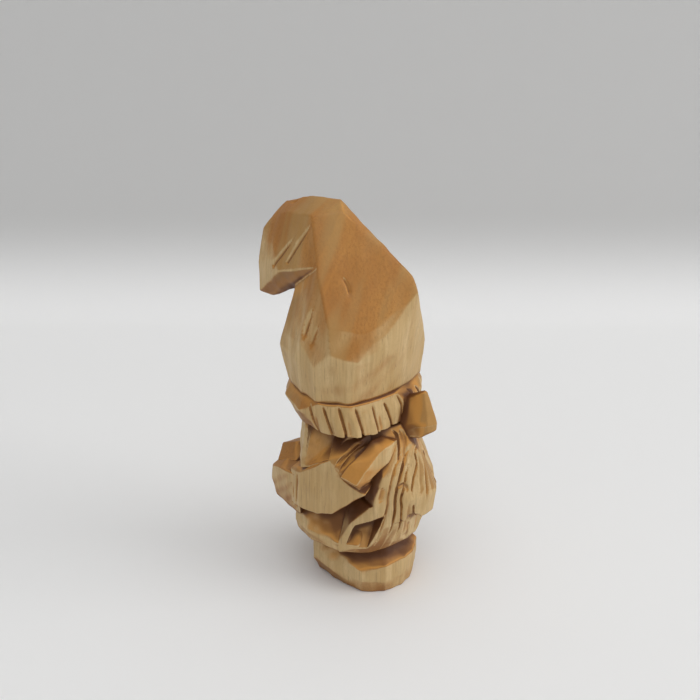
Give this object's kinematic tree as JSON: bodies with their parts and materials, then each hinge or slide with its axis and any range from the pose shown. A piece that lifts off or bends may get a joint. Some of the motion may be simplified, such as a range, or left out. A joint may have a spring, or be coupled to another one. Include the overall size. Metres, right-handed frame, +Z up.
{
  "type": "tomte gnome figurine",
  "caption": "Hand-whittled wooden tomte gnome with a folded pointed hat, fringed brim, big nose, flowing beard and hands clasped behind its back; stands on its flat base.",
  "frame": {"origin": "on the surface it stands on, under the middle of its bounding box", "axes": "+Z up, the gnome faces -Y, its right hand side is -X"},
  "size_m": [0.0372, 0.0456, 0.0975],
  "materials": {
    "side_grain_wood": "knife-cut, satin oil",
    "end_grain_wood": "knife-cut, satin oil, darker where the end grain drank it"
  },
  "bodies": {
    "root": {"hat": "end_grain_wood", "hat_brim": "side_grain_wood", "nose": "end_grain_wood", "moustache_right": "end_grain_wood", "moustache_left": "end_grain_wood", "beard": "side_grain_wood", "coat": "side_grain_wood", "sleeve_right": "side_grain_wood", "sleeve_left": "side_grain_wood", "hand_right": "side_grain_wood", "hand_left": "end_grain_wood", "boots": "side_grain_wood"}
  },
  "joints": []
}
